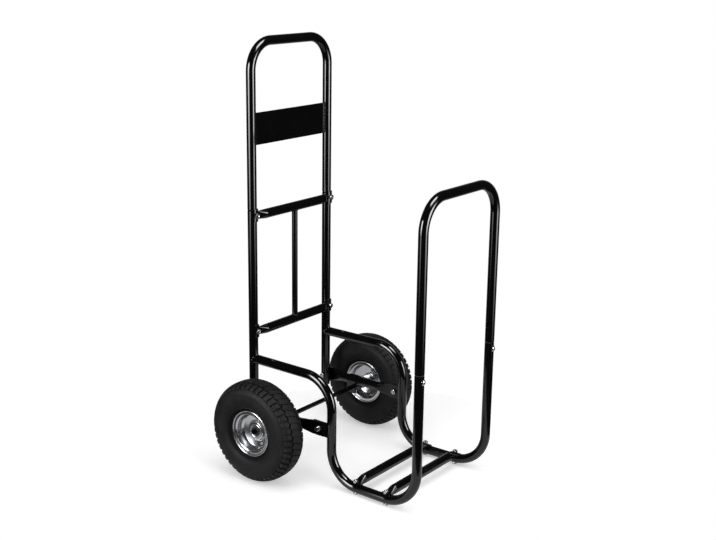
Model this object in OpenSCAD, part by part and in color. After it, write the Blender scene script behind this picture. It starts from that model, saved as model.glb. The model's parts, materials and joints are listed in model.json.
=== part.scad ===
// Fireside log cart: a bent-tube frame on two pneumatic wheels.
// Millimetres. X runs across the cart, -Y points to the loading bay and +Z is up.
// The origin is on the floor, at the middle of the cart's outline seen from above.

/* [Frame] */
// Width of the frame at the rear legs, between their centre lines
rear_w = 310; // [260:1:380]
// Width of the frame at the front uprights, between their centre lines
front_w = 324; // [260:1:380]
// Distance from the rear legs to the front uprights, along the side tubes' centre lines
frame_l = 546; // [500:1:640]
// Distance from the rear legs to the risers, along the side tubes' centre lines
riser_l = 273.5; // [262:0.5:310]
// Height of the handle's grip above the floor, at its centre line
handle_z = 1135; // [1060:5:1250]
// Height of the front loop's top above the floor, at its centre line
front_z = 803; // [600:1:900]
// Height of the shelf tubes above the floor, at their centre lines
shelf_z = 291; // [250:1:330]
// Height of the seam between the rear legs and the handle
leg_top_z = 700; // [600:1:760]
// Length of the rear legs below the strut bolts
leg_tail_l = 26; // [20:0.5:32]
// Height of the seam between the front stubs and the front loop
stub_top_z = 370; // [200:1:480]

/* [Tube] */
// Outside diameter of the frame tube
tube_d = 25; // [24:0.5:28]
// Wall of the frame tube
tube_t = 1.5; // [1:0.1:1.8]
// Bend radius of the handle
handle_bend_r = 75; // [50:1:110]
// Bend radius of the front loop
front_bend_r = 81; // [50:1:110]
// Bend radius between shelf and riser
shelf_bend_r = 85; // [60:1:95]
// Bend radius between riser and bottom run
well_bend_r = 85; // [60:1:95]
// Bend radius between bottom run and front stub
toe_bend_r = 95; // [60:1:110]
// Length of the swaged ends that plug into the tubes below
swage_l = 60; // [40:1:90]
// Length of the cone between full tube and swaged end
swage_cone_l = 4; // [3:0.5:8]

/* [Bars and plates] */
// Height of the plate between the handle's legs
plate_h = 84; // [50:1:120]
// Thickness of that plate
plate_t = 2; // [1:0.1:4]
// Distance from the grip's centre line down to the plate's upper edge
plate_drop = 181; // [140:1:220]
// Distance of the upper crossbar's bolts below the leg seam
upper_bar_drop = 12; // [8:1:30]
// Distance of the front loop's bolts below its seam
front_bolt_drop = 14; // [8:1:30]
// Height of the lower crossbar
lower_bar_z = 370; // [345:1:450]
// Height of the saddles at the ends of the two crossbars
saddle_h = 34; // [24:1:40]
// Length of the saddles at the ends of the two bottom bars
foot_saddle_l = 28; // [20:1:30]
// Thickness of every saddle
saddle_t = 3; // [2:0.1:3.5]
// Half of the angle that a saddle wraps around its tube
saddle_wrap = 50; // [40:1:60]
// Length over which a bar's end narrows to its saddle
bar_taper_l = 23; // [15:1:40]
// Height of a bar's end where it meets its saddle
bar_neck_h = 20; // [14:1:24]
// How far each bottom bar stands into the bend next to it
foot_bar_inset = 2.5; // [0:0.5:4]
// Diameter of the brace between the crossbars
brace_d = 16; // [12:0.5:20]
// Wall of the brace
brace_t = 1.5; // [1:0.1:2]

/* [Struts] */
// Gap between the struts and the axle below them
strut_axle_gap = 0.5; // [0.2:0.1:6]
// Thickness of a strut's flattened ends
strut_flat_t = 3; // [2.5:0.1:4]
// Height of a strut's flattened ends
strut_flat_h = 38; // [28:1:40]
// Distance from the rear legs to the end of a strut's rear flat
strut_rear_flat_l = 16; // [15:1:24]
// Distance from the rear legs to the start of a strut's round stretch
strut_round_start_l = 55; // [40:1:64]
// Distance from the rear legs to the end of a strut's round stretch
strut_round_end_l = 178; // [130:1:190]
// Distance from the strut bolts forward to the struts' front ends
strut_tip_l = 18.5; // [12:0.5:20]
// Distance from the risers' centre lines back to the strut bolts
lug_bolt_l = 33.5; // [28:0.5:40]
// Length of a strut lug behind the riser's centre line
lug_l = 51.5; // [46:0.5:60]
// Height of a strut lug
lug_h = 40; // [30:1:50]
// Thickness of a strut lug
lug_t = 4; // [3:0.1:5]

/* [Axle] */
// Distance from the rear legs to the axle
axle_l = 95; // [80:1:108]
// Diameter of the axle
axle_d = 13; // [10:0.1:14]
// Length of each axle bracket, along its strut
bracket_l = 30; // [20:1:40]
// Thickness of each axle bracket
bracket_t = 3; // [2:0.1:4]
// Length of a bracket's legs below the axle's centre
bracket_toe_l = 15; // [11:0.5:20]
// Length of the spacers between brackets and hubs
spacer_l = 11.5; // [4:0.5:16]
// Outside diameter of the spacers
spacer_d = 22; // [18:0.5:26]
// Play between the axle washers and the cotter pins
cotter_gap = 1; // [0.5:0.1:3]
// Length of the axle beyond its cotter pins
axle_tip_l = 3; // [2:0.5:6]

/* [Wheels] */
// Radius of the tyres, and the height of the axle
tyre_r = 137; // [130:0.5:141]
// Width of the tyres
tyre_w = 88; // [80:1:96]
// Thickness of the tyres' side walls
tyre_side_t = 4.5; // [3:0.5:7]
// Thickness of the tyres' crown, from the air tube to the tread's top
tyre_crown_t = 9.5; // [7:0.5:14]
// Depth of the tread
tread_depth = 4; // [2:0.5:5]
// Number of tread blocks around one shoulder
tread_count = 48; // [16:4:60]
// Width of the gaps between tread blocks
tread_gap = 5; // [3:0.5:8]
// Width of the two grooves that run around the tread
tread_groove_w = 5; // [3:0.5:8]
// Distance of those grooves from the middle of the tread
tread_groove_u = 17.5; // [12:0.5:22]
// How far the tyres' section reaches down inside the rims' lips
bead_depth = 6; // [4:0.5:8]
// Thickness of the air tubes' rubber
air_tube_t = 2; // [1:0.5:4]
// Radius of the rims at the edge of the lip
rim_lip_r = 63; // [60:0.5:66]
// Distance between the outer edges of a rim's two lips
rim_w = 64; // [58:1:68]
// Radius of the rims' bead seats
rim_seat_r = 50.8; // [48:0.1:52]
// Thickness of the rim sheet
rim_t = 2; // [1.5:0.1:2.5]
// Radius of the raised boss in the outer rim half
boss_r = 24; // [22:0.5:28]
// Height of that boss above the flat of the disc
boss_h = 6.2; // [3:0.1:7]
// Width of the cone around that boss
boss_cone_w = 4; // [3:0.5:6]
// Slope of the dished discs, which part from each other beyond the boss
dish_angle = 15; // [0:1:20]
// Width of the slanted corner between a disc and its bead seat
dish_corner_w = 5; // [3:0.5:7]
// Outside diameter of the hubs
hub_d = 34; // [31:0.5:38]
// Wall of the hubs
hub_t = 4.5; // [3:0.1:5]
// Length of the hubs
hub_l = 57; // [50:0.5:60]
// How far a hub's outer end stands out of its rim
hub_proud = 0.3; // [0.1:0.1:2]
// Length of the bearing bushes
bush_l = 20; // [12:1:24]
// Radius at which the valves stand
valve_r = 41; // [38:0.5:42]
// Diameter of the valve stems
valve_d = 7.5; // [6:0.1:8]
// Height of the valve caps' tips above the middle of the wheel
valve_tip_u = 28; // [27:0.5:32]
// Angle of the valves below the level line towards the front
valve_angle = 28; // [0:1:60]

/* [Fasteners] */
// Diameter of the bolts' shanks
bolt_d = 8; // [6:0.5:8]
// Width across flats of bolt heads and nuts
hex_af = 13; // [12:0.5:13.5]
// Height of the bolt heads
head_h = 5.3; // [4:0.1:6]
// Diameter of the front loop's round bolt heads
front_head_d = 15; // [12:0.5:16]
// Diameter of those heads' flat tops
front_head_top_d = 9; // [7:0.5:10]
// Height of those heads
front_head_h = 3.2; // [2:0.1:4]
// Height of the low bolt heads that the cart stands on
foot_head_h = 4; // [3:0.1:6]
// Height of the nuts
nut_h = 6.5; // [5:0.1:7]
// How far a bolt stands out of its nut
bolt_proud = 2; // [1:0.1:4]
// Outside diameter of the strut washers
washer_d = 16; // [14.5:0.5:20]
// Thickness of the strut washers
washer_t = 1.6; // [1:0.1:2.5]
// Outside diameter of the axle washers
axle_washer_d = 24; // [18:0.5:24]
// Thickness of the axle washers
axle_washer_t = 2; // [1:0.1:3]
// Diameter of the cotter pins
cotter_d = 3.2; // [2:0.1:4]
// Length of a cotter pin's legs below its eye
cotter_l = 20; // [16:1:26]
// Length of the plugs inside the leg ends
plug_l = 12; // [8:1:14]
// Thickness of the plugs' caps
plug_cap_t = 3; // [2:0.5:5]

/* [Clearances] */
// Gap between tubes, plates and brackets that lie against each other
fit_gap = 0.15; // [0.1:0.05:0.3]
// Gap at a butt weld
weld_gap = 0.1; // [0.05:0.05:0.2]
// Gap around a bolt, a pin or the axle in its hole
hole_gap = 0.2; // [0.1:0.05:0.4]
// Gap under bolt heads and nuts
seat_gap = 0.05; // [0.02:0.01:0.1]
// Running gap between the bearings and the axle
run_gap = 0.05; // [0.02:0.01:0.09]

/* [Hidden] */

$fn = 96;
hull_fn = 32;
sides = [-1, 1];
cut = 1;
paint = [0.035, 0.035, 0.04];
zinc = [0.75, 0.76, 0.78];
rubber = [0.10, 0.10, 0.105];
plastic = [0.06, 0.06, 0.06];

// Tubes
tube_r = tube_d / 2;
bore_r = tube_r - tube_t;
swage_d = 2 * (bore_r - fit_gap);
swage_bore_r = bore_r - fit_gap - tube_t;
hole_d = bolt_d + 2 * hole_gap;

// Saddles lie against the tubes; a bar's centre line runs through the middle of the saddle's wall
saddle_r = tube_r + fit_gap;
bar_off = saddle_r + saddle_t / 2;
saddle_out = saddle_r + saddle_t;

// Nuts in a tube stand with their corners against its wall, this far from its axis
hex_corner_r = hex_af / 2 / cos(30);
function nut_seat(inner_r) = sqrt(max(0, inner_r * inner_r - hex_corner_r * hex_corner_r)) - seat_gap;

// The side frames spread by this angle from the rear legs to the front uprights
spread = asin((front_w - rear_w) / 2 / frame_l);

// Where things stand along Y
reach_front = frame_l * cos(spread) + tube_r + seat_gap + front_head_h;
reach_back = tyre_r - axle_l;
leg_y = (reach_front - reach_back) / 2;
front_y = leg_y - frame_l * cos(spread);
axle_y = leg_y - axle_l;

// Distances ahead of the rear legs, along the side tubes
foot_bar_rear_l = riser_l + well_bend_r - foot_bar_inset;
foot_bar_front_l = frame_l - toe_bend_r + foot_bar_inset;
foot_bars = [foot_bar_rear_l, foot_bar_front_l];
lug_bolt_at = riser_l - lug_bolt_l;
strut_end_at = lug_bolt_at + strut_tip_l;

// Place of the side tubes' centre lines at a distance ahead of the rear legs
function side_x(l) = rear_w / 2 + l * sin(spread);
function side_y(l) = leg_y - l * cos(spread);

// Heights
bottom_z = foot_head_h + tube_r;
upper_bar_z = leg_top_z - upper_bar_drop;
front_bolt_z = stub_top_z - front_bolt_drop;
plate_top_z = handle_z - plate_drop;
axle_z = tyre_r;
strut_z = axle_z + axle_d / 2 + strut_axle_gap + tube_r;
leg_end_z = strut_z - leg_tail_l;

// Struts lie against the outer sides of the legs and of their lugs, this far out from the legs' axes
strut_off = tube_r + fit_gap + strut_flat_t / 2;
strut_head_off = strut_off + strut_flat_t / 2 + 2 * seat_gap + washer_t;
leg_nut_off = -tube_r - seat_gap;
lug_nut_off = tube_r - lug_t - seat_gap;

// Axle line, from the brackets outwards
bracket_r = tube_r + fit_gap;
bracket_out = bracket_r + bracket_t;
bracket_at = (axle_l + strut_off * sin(spread)) / cos(spread);
bracket_x = side_x(bracket_at) + strut_off * cos(spread);
spacer_x = bracket_x + bracket_out + bracket_l / 2 * abs(sin(spread)) + fit_gap;
hub_in_x = spacer_x + spacer_l + fit_gap;
hub_out_x = hub_in_x + hub_l;
hub_out_u = boss_h + rim_t + hub_proud;
wheel_x = hub_out_x - hub_out_u;
axle_washer_x = hub_out_x + 2 * fit_gap;
cotter_x = axle_washer_x + axle_washer_t + cotter_gap + cotter_d / 2;
axle_end_x = cotter_x + cotter_d / 2 + axle_tip_l;
axle_hole_d = axle_d + 2 * hole_gap;

// Tyre section: a rounded box curve around its own centre
tyre_squareness = 2.6;
bead_extra_t = 1;
lip_gap = 1;
tyre_low_r = rim_lip_r - bead_depth;
tyre_mid_r = (tyre_r + tyre_low_r) / 2;
tyre_half_h = (tyre_r - tyre_low_r) / 2;
inside_half_w = tyre_w / 2 - tyre_side_t;
inside_top_r = tyre_r - tyre_crown_t;
inside_low_r = tyre_low_r + tyre_side_t + bead_extra_t;
inside_mid_r = (inside_top_r + inside_low_r) / 2;
inside_half_h = (inside_top_r - inside_low_r) / 2;
bead_toe_u = rim_w / 4;
lip_r = rim_t;
lip_u = rim_w / 2 - lip_r;
groove_angle = acos(pow(2 * tread_groove_u / tyre_w, tyre_squareness / 2));

// Directions at the points of a flat path, and how far each bend reaches back along the runs
function heading(p, i) = atan2(p[i + 1].y - p[i].y, p[i + 1].x - p[i].x);
function turn(p, i) =
    let (t = heading(p, i) - heading(p, i - 1))
    t > 180 ? t - 360 : t < -180 ? t + 360 : t;
function setback(p, r, i) = i < 1 || i > len(p) - 2 ? 0 : r[i - 1] * tan(abs(turn(p, i)) / 2);

// Sweeps a flat shape along a path in the XY plane; r holds one bend radius per inner point
module sweep_path(p, r) {
    for (i = [0 : len(p) - 2]) {
        start = setback(p, r, i);
        run = norm(p[i + 1] - p[i]) - start - setback(p, r, i + 1);
        translate(p[i]) rotate(heading(p, i)) translate([start, 0, 0]) rotate([90, 0, 90])
            linear_extrude(run) children();
    }
    for (i = [1 : 1 : len(p) - 2]) {
        t = turn(p, i);
        side = t > 0 ? 1 : -1;
        translate(p[i]) rotate(heading(p, i - 1)) translate([-setback(p, r, i), side * r[i - 1], 0])
            rotate(t > 0 ? -90 : 90 + t) rotate_extrude(angle = abs(t)) translate([r[i - 1], 0]) children();
    }
}

module tube_section() {
    difference() {
        circle(r = tube_r);
        circle(r = bore_r);
    }
}

// A drawn-down tube end below z = 0, with its cone above
module swaged_end() {
    rotate_extrude()
        polygon([
            [swage_bore_r, -swage_l], [swage_d / 2, -swage_l], [swage_d / 2, 0],
            [tube_r, swage_cone_l], [bore_r, swage_cone_l], [swage_bore_r, 0]
        ]);
}

// Upside-down U of frame tube with swaged ends, in the XZ plane; z = 0 is at its seams
module loop_tube(width, height, bend_r) {
    side = width / 2;
    rotate([90, 0, 0])
        sweep_path(
            [[-side, swage_cone_l], [-side, height], [side, height], [side, swage_cone_l]],
            [bend_r, bend_r])
            tube_section();
    for (s = sides) translate([s * side, 0, 0]) swaged_end();
}

// The frame of one side: its z axis is the rear leg's, -y runs ahead along the side tube, x points outwards
module beside(s) {
    mirror([s < 0 ? 1 : 0, 0, 0]) translate([rear_w / 2, leg_y, 0]) rotate(spread) children();
}

// Side tube's route: shelf, riser, bottom run and front stub, as distance ahead of the legs and height
side_route = [
    [0, shelf_z], [riser_l, shelf_z], [riser_l, bottom_z], [frame_l, bottom_z], [frame_l, stub_top_z]
];
side_bends = [shelf_bend_r, well_bend_r, toe_bend_r];

module side_sweep(s) {
    beside(s) rotate([90, 0, -90]) sweep_path(side_route, side_bends) children();
}

// The bottom run and the two bends at its ends, as the space that the tube takes there
module bottom_run_space(s) {
    beside(s) rotate([90, 0, -90])
        sweep_path(
            [
                [riser_l, bottom_z + well_bend_r + cut], [riser_l, bottom_z],
                [frame_l, bottom_z], [frame_l, bottom_z + toe_bend_r + cut]
            ],
            [well_bend_r, toe_bend_r])
            circle(r = saddle_r);
}

// A hole along Y
module hole_y(d, length) {
    rotate([90, 0, 0]) cylinder(d = d, h = length, center = true);
}

// A bolt hole from the axis of a tube through its -Y wall
module front_hole() {
    rotate([90, 0, 0]) cylinder(d = hole_d, h = tube_d);
}

// A hole along X
module hole_x(d, length) {
    rotate([0, 90, 0]) cylinder(d = d, h = length, center = true);
}

// A bolt along +Z: its head lies below z = 0, its shank runs up to length
module bolt(length, head) {
    translate([0, 0, -head]) cylinder(r = hex_corner_r, h = head, $fn = 6);
    cylinder(d = bolt_d, h = length);
}

// The same with a round head
module round_head_bolt(length) {
    translate([0, 0, -front_head_h]) cylinder(d1 = front_head_top_d, d2 = front_head_d, h = front_head_h);
    cylinder(d = bolt_d, h = length);
}

// A nut on z = 0
module nut() {
    difference() {
        cylinder(r = hex_corner_r, h = nut_h, $fn = 6);
        translate([0, 0, -cut]) cylinder(d = bolt_d + hole_gap, h = nut_h + 2 * cut);
    }
}

// A round washer on z = 0
module washer(outer, inner, thickness) {
    difference() {
        cylinder(d = outer, h = thickness);
        translate([0, 0, -cut]) cylinder(d = inner, h = thickness + 2 * cut);
    }
}

// A bar with a saddle at each end, before it is cut to its tubes. The bar lies along X at z = 0,
// the tubes that it is bolted to run along Z at y = 0 and x = +-tube_x, and the saddles lie on their
// -Y sides.
module saddle_bar(length_z, tube_x) {
    neck_x = tube_x - saddle_r * sin(saddle_wrap) + fit_gap;
    taper_x = neck_x - bar_taper_l;
    translate([0, -bar_off, 0]) rotate([90, 0, 90])
        linear_extrude(2 * taper_x, center = true) tube_section();
    for (s = sides) mirror([s < 0 ? 1 : 0, 0, 0]) {
        hull() {
            translate([taper_x - fit_gap, -bar_off, 0]) rotate([90, 0, 90])
                cylinder(r = tube_r, h = fit_gap, $fn = hull_fn);
            translate([neck_x, -saddle_out * cos(saddle_wrap) - saddle_t, -bar_neck_h / 2])
                cube([saddle_t, saddle_t * 1.5, bar_neck_h]);
        }
        translate([tube_x, 0, -length_z / 2]) rotate(-90 - saddle_wrap)
            rotate_extrude(angle = 2 * saddle_wrap) square([saddle_out, length_z]);
    }
}

// A crossbar between the rear legs, at height z
module crossbar(z) {
    color(paint)
    translate([0, leg_y, z])
    difference() {
        saddle_bar(saddle_h, rear_w / 2);
        for (s = sides) translate([s * rear_w / 2, 0, 0]) {
            cylinder(r = saddle_r, h = 2 * saddle_h, center = true);
            hole_y(hole_d, 3 * tube_d);
        }
    }
}

// A bottom bar over the bottom runs, at a distance ahead of the rear legs
module bottom_bar(l) {
    color(paint)
    difference() {
        translate([0, side_y(l), bottom_z]) rotate([-90, 0, 0]) saddle_bar(foot_saddle_l, side_x(l));
        for (s = sides) {
            bottom_run_space(s);
            translate([s * side_x(l), side_y(l), bottom_z])
                cylinder(d = hole_d, h = 3 * tube_d, center = true);
        }
    }
}

module handle_loop() {
    color(paint)
    translate([0, leg_y, leg_top_z])
    difference() {
        loop_tube(rear_w, handle_z - leg_top_z, handle_bend_r);
        for (s = sides) translate([s * rear_w / 2, 0, -upper_bar_drop]) front_hole();
    }
}

module handle_plate() {
    width = rear_w - tube_d - 2 * fit_gap;
    color(paint)
    translate([-width / 2, leg_y - plate_t / 2, plate_top_z - plate_h])
        cube([width, plate_t, plate_h]);
}

module rear_leg(s) {
    color(paint)
    difference() {
        translate([s * rear_w / 2, leg_y, leg_end_z]) linear_extrude(leg_top_z - leg_end_z) tube_section();
        for (z = [upper_bar_z, lower_bar_z]) translate([s * rear_w / 2, leg_y, z]) front_hole();
        beside(s) translate([0, 0, strut_z]) hole_x(hole_d, 2 * tube_d);
    }
}

module leg_end_plugs() {
    color(plastic)
    for (s = sides) translate([s * rear_w / 2, leg_y, leg_end_z - plug_cap_t]) {
        cylinder(r = tube_r, h = plug_cap_t);
        cylinder(r = bore_r - fit_gap, h = plug_cap_t + plug_l);
    }
}

module back_brace() {
    color(paint)
    translate([0, leg_y - bar_off, 0])
    difference() {
        translate([0, 0, lower_bar_z]) linear_extrude(upper_bar_z - lower_bar_z)
            difference() {
                circle(d = brace_d);
                circle(d = brace_d - 2 * brace_t);
            }
        for (z = [upper_bar_z, lower_bar_z]) translate([0, 0, z]) hole_x(tube_d + 2 * weld_gap, 2 * tube_d);
    }
}

module side_tube(s) {
    color(paint)
    difference() {
        side_sweep(s) tube_section();
        translate([s * rear_w / 2, leg_y, shelf_z])
            cylinder(r = tube_r + weld_gap, h = 2 * tube_d, center = true);
        translate([s * front_w / 2, front_y, front_bolt_z]) front_hole();
        for (l = foot_bars)
            translate([s * side_x(l), side_y(l), bottom_z])
                cylinder(d = hole_d, h = 2 * tube_d, center = true);
    }
}

module front_loop() {
    color(paint)
    translate([0, front_y, stub_top_z])
    difference() {
        loop_tube(front_w, front_z - stub_top_z, front_bend_r);
        for (s = sides) translate([s * front_w / 2, 0, -front_bolt_drop]) front_hole();
    }
}

// One flattened end of a strut: round at y = 0, flat from y = flat_y to y = end_y
module strut_end(flat_y, end_y) {
    hull() {
        rotate([90, 0, 0]) cylinder(r = tube_r, h = fit_gap, center = true, $fn = hull_fn);
        translate([0, flat_y, 0]) cube([strut_flat_t, fit_gap, strut_flat_h], center = true);
    }
    translate([-strut_flat_t / 2, min(flat_y, end_y), -strut_flat_h / 2])
        cube([strut_flat_t, abs(end_y - flat_y), strut_flat_h]);
}

module strut(s) {
    color(paint)
    beside(s)
    difference() {
        translate([strut_off, 0, strut_z]) {
            translate([0, -strut_round_start_l, 0]) rotate([90, 0, 0])
                linear_extrude(strut_round_end_l - strut_round_start_l) tube_section();
            translate([0, -strut_round_start_l, 0])
                strut_end(strut_round_start_l - strut_rear_flat_l, strut_round_start_l + tube_r);
            translate([0, -strut_round_end_l, 0])
                strut_end(
                    strut_round_end_l - riser_l + lug_l + 2 * fit_gap,
                    strut_round_end_l - strut_end_at);
        }
        for (l = [0, lug_bolt_at]) translate([strut_off, -l, strut_z]) hole_x(hole_d, tube_d);
    }
}

module strut_lug(s) {
    color(paint)
    beside(s) translate([0, -riser_l, strut_z])
    difference() {
        translate([tube_r - lug_t / 2, lug_l / 2, 0]) cube([lug_t, lug_l, lug_h], center = true);
        cylinder(r = tube_r + weld_gap, h = 2 * lug_h, center = true);
        translate([tube_r, lug_bolt_l, 0]) hole_x(hole_d, tube_d);
    }
}

// Saddle over the strut, with two legs that hold the axle
module axle_bracket(s) {
    leg_h = strut_z - axle_z + bracket_toe_l;
    color(paint)
    difference() {
        beside(s) translate([strut_off, -bracket_at, strut_z])
            rotate([90, 0, 0]) linear_extrude(bracket_l, center = true)
            difference() {
                union() {
                    circle(r = bracket_out);
                    translate([-bracket_out, -leg_h]) square([2 * bracket_out, leg_h]);
                }
                circle(r = bracket_r);
                translate([-bracket_r, -leg_h - cut]) square([2 * bracket_r, leg_h + cut]);
            }
        translate([0, axle_y, axle_z]) hole_x(axle_hole_d, 2 * axle_end_x);
    }
}

module axle() {
    color(paint)
    translate([0, axle_y, axle_z])
    difference() {
        rotate([0, 90, 0]) cylinder(d = axle_d, h = 2 * axle_end_x, center = true);
        for (s = sides) translate([s * cotter_x, 0, 0])
            cylinder(d = cotter_d + hole_gap, h = 2 * axle_d, center = true);
    }
}

// Places a ring of the axle line: z = 0 of the child goes to distance x from the centre plane
module on_axle(x) {
    for (s = sides) mirror([s < 0 ? 1 : 0, 0, 0])
        translate([x, axle_y, axle_z]) rotate([0, 90, 0]) children();
}

module axle_spacers() {
    color(zinc) on_axle(spacer_x) washer(spacer_d, axle_hole_d, spacer_l);
}

module axle_washers() {
    color(paint) on_axle(axle_washer_x) washer(axle_washer_d, axle_hole_d, axle_washer_t);
}

// A cotter pin through each end of the axle, with its eye on top
module axle_cotter_pins() {
    wire_d = cotter_d * 0.6;
    eye_r = cotter_d;
    color(paint)
    for (s = sides) translate([s * cotter_x, axle_y, axle_z + axle_d / 2 + fit_gap]) {
        translate([0, 0, -cotter_l]) cylinder(d = cotter_d, h = cotter_l + wire_d);
        translate([0, 0, eye_r + wire_d / 2]) rotate([0, 90, 0])
            rotate_extrude() translate([eye_r, 0]) circle(d = wire_d);
    }
}

// Height and nut seat of the crossbars' bolts: the upper ones go through the handle's swaged ends too
crossbar_seats = [[upper_bar_z, nut_seat(swage_bore_r)], [lower_bar_z, nut_seat(bore_r)]];

// Places a bolt or nut at each rear leg, at height z and y0 from the leg's axis, pointing back
module at_legs(z, y0) {
    for (s = sides) translate([s * rear_w / 2, leg_y + y0, z]) rotate([-90, 0, 0]) children();
}

module crossbar_bolts() {
    start = -saddle_out - seat_gap;
    color(zinc)
    for (seat = crossbar_seats)
        at_legs(seat[0], start) bolt(nut_h + bolt_proud - seat[1] - start, head_h);
}

// Nuts welded into the rear legs and the handle's swaged ends
module crossbar_nuts() {
    color(zinc)
    for (seat = crossbar_seats) at_legs(seat[0], -seat[1]) nut();
}

// Places a bolt or nut at each front upright, y0 from its axis, pointing back
module at_uprights(y0) {
    for (s = sides) translate([s * front_w / 2, front_y + y0, front_bolt_z]) rotate([-90, 0, 0]) children();
}

module front_loop_bolts() {
    start = -tube_r - seat_gap;
    color(zinc) at_uprights(start) round_head_bolt(nut_h + bolt_proud - nut_seat(swage_bore_r) - start);
}

// Nuts welded into the front loop's swaged ends
module front_loop_nuts() {
    color(zinc) at_uprights(-nut_seat(swage_bore_r)) nut();
}

module at_bottom_bar_bolts(z0) {
    for (s = sides, l = foot_bars) translate([s * side_x(l), side_y(l), bottom_z + z0]) children();
}

module bottom_bar_bolts() {
    color(zinc)
    at_bottom_bar_bolts(-tube_r)
        bolt(tube_d + fit_gap + saddle_t + seat_gap + nut_h + bolt_proud, foot_head_h);
}

module bottom_bar_nuts() {
    color(zinc) at_bottom_bar_bolts(saddle_out + seat_gap) nut();
}

// Places strut fasteners: l ahead of the legs and off outwards from the legs' axes, pointing inwards
module at_strut_bolt(l, off) {
    for (s = sides) beside(s) translate([off, -l, strut_z]) rotate([0, -90, 0]) children();
}

module strut_bolts() {
    end_l = nut_h + bolt_proud;
    color(zinc) {
        at_strut_bolt(0, strut_head_off) bolt(strut_head_off - leg_nut_off + end_l, head_h);
        at_strut_bolt(lug_bolt_at, strut_head_off) bolt(strut_head_off - lug_nut_off + end_l, head_h);
    }
}

module strut_washers() {
    color(zinc)
    for (l = [0, lug_bolt_at]) at_strut_bolt(l, strut_head_off - seat_gap) washer(washer_d, hole_d, washer_t);
}

module strut_nuts() {
    color(zinc) {
        at_strut_bolt(0, leg_nut_off) nut();
        at_strut_bolt(lug_bolt_at, lug_nut_off) nut();
    }
}

// Puts a wheel part in place: its axis is z, and z points away from the cart
module at_wheel(s) {
    mirror([s < 0 ? 1 : 0, 0, 0]) translate([wheel_x, axle_y, axle_z]) rotate([0, 90, 0]) children();
}

// Point of a rounded box curve at angle a, as radius from the wheel's axis and distance from its middle
function section_point(a, mid_r, half_h, half_w, grow = 0) = [
    mid_r + (half_h + grow) * sign(sin(a)) * pow(abs(sin(a)), 2 / tyre_squareness),
    (half_w + grow) * sign(cos(a)) * pow(abs(cos(a)), 2 / tyre_squareness)
];

// Half of the tyre's section, from beside the middle of the crown over the side wall to the bead and back
tyre_half = [
    for (a = [80 : -10 : -50]) section_point(a, tyre_mid_r, tyre_half_h, tyre_w / 2),
    [rim_lip_r + fit_gap, lip_u - lip_r - lip_gap],
    [rim_seat_r + 3 * rim_t, lip_u - 2 * rim_t],
    [rim_seat_r + fit_gap, lip_u - 3 * rim_t],
    [rim_seat_r + fit_gap, bead_toe_u],
    [rim_seat_r + 3 * rim_t, bead_toe_u],
    for (a = [-60 : 10 : 80]) section_point(a, inside_mid_r, inside_half_h, inside_half_w)
];

// The whole section: the half above, and its mirror image in reverse order
tyre_section = concat(
    [[tyre_r, 0]], tyre_half, [[inside_top_r, 0]],
    [for (i = [len(tyre_half) - 1 : -1 : 0]) [tyre_half[i].x, -tyre_half[i].y]]
);

// Outline of a tread slot, from the groove over the shoulder, shallower towards the side wall
slot_steps = 5;
slot_low_angle = 18;
slot_fade = 3;
function slot_point(i, grow) =
    let (a = slot_low_angle + (groove_angle - slot_low_angle) * i / slot_steps)
    section_point(a, tyre_mid_r, tyre_half_h, tyre_w / 2, grow);
tread_slot = [
    for (i = [0 : slot_steps]) slot_point(i, tread_depth),
    for (i = [slot_steps : -1 : 0]) slot_point(i, -tread_depth * min(1, (i + 1) / slot_fade))
];

module tyre(s) {
    step = 360 / tread_count;
    color(rubber)
    at_wheel(s)
    difference() {
        rotate_extrude()
            difference() {
                polygon(tyre_section);
                for (m = sides) translate([tyre_r - tread_depth, m * tread_groove_u - tread_groove_w / 2])
                    square([tread_depth + cut, tread_groove_w]);
            }
        for (m = sides, i = [0 : tread_count - 1])
            rotate((i + (m + 1) / 4) * step) mirror([0, 0, m < 0 ? 1 : 0]) rotate([90, 0, 0])
                linear_extrude(tread_gap, center = true) polygon(tread_slot);
    }
}

module inner_tube(s) {
    color(plastic)
    at_wheel(s)
    rotate_extrude()
        difference() {
            polygon([for (a = [0 : 10 : 350])
                section_point(a, inside_mid_r, inside_half_h, inside_half_w, -2 * fit_gap)]);
            polygon([for (a = [0 : 10 : 350])
                section_point(a, inside_mid_r, inside_half_h, inside_half_w, -2 * fit_gap - air_tube_t)]);
        }
}

// One rim half above z = 0: dished disc with an optional boss, bead seat, flange and rolled lip
corner_angle = 45;
module rim_half(boss) {
    seat_in_r = rim_seat_r - rim_t;
    hole_r = hub_d / 2 + weld_gap;
    low = weld_gap / 2;
    flange_u = lip_u - lip_r;
    foot_r = boss_r + boss_cone_w;
    dish_r = seat_in_r - dish_corner_w;
    dish_u = low + rim_t + (dish_r - foot_r) * tan(dish_angle);
    bevel = tan((corner_angle - dish_angle) / 2);
    rotate_extrude() {
        polygon([
            [hole_r, low + boss], [boss_r - rim_t / 2, low + boss], [foot_r - rim_t / 2, low],
            [dish_r + rim_t * (sin(dish_angle) + bevel * cos(dish_angle)),
                dish_u - rim_t * (cos(dish_angle) - bevel * sin(dish_angle))],
            [rim_seat_r, dish_u + dish_corner_w - rim_t * tan(corner_angle / 2)],
            [rim_seat_r, flange_u - 2 * rim_t], [rim_seat_r + 1.5 * rim_t, flange_u - rim_t / 2],
            [rim_lip_r - lip_r, flange_u], [rim_lip_r - lip_r, flange_u + rim_t],
            [rim_seat_r + rim_t, flange_u + rim_t * 0.75], [seat_in_r, flange_u - rim_t],
            [seat_in_r, dish_u + dish_corner_w], [dish_r, dish_u], [foot_r, low + rim_t],
            [boss_r, low + boss + rim_t], [hole_r, low + boss + rim_t]
        ]);
        translate([rim_lip_r - lip_r, lip_u]) circle(r = lip_r, $fn = hull_fn);
    }
}

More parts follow.
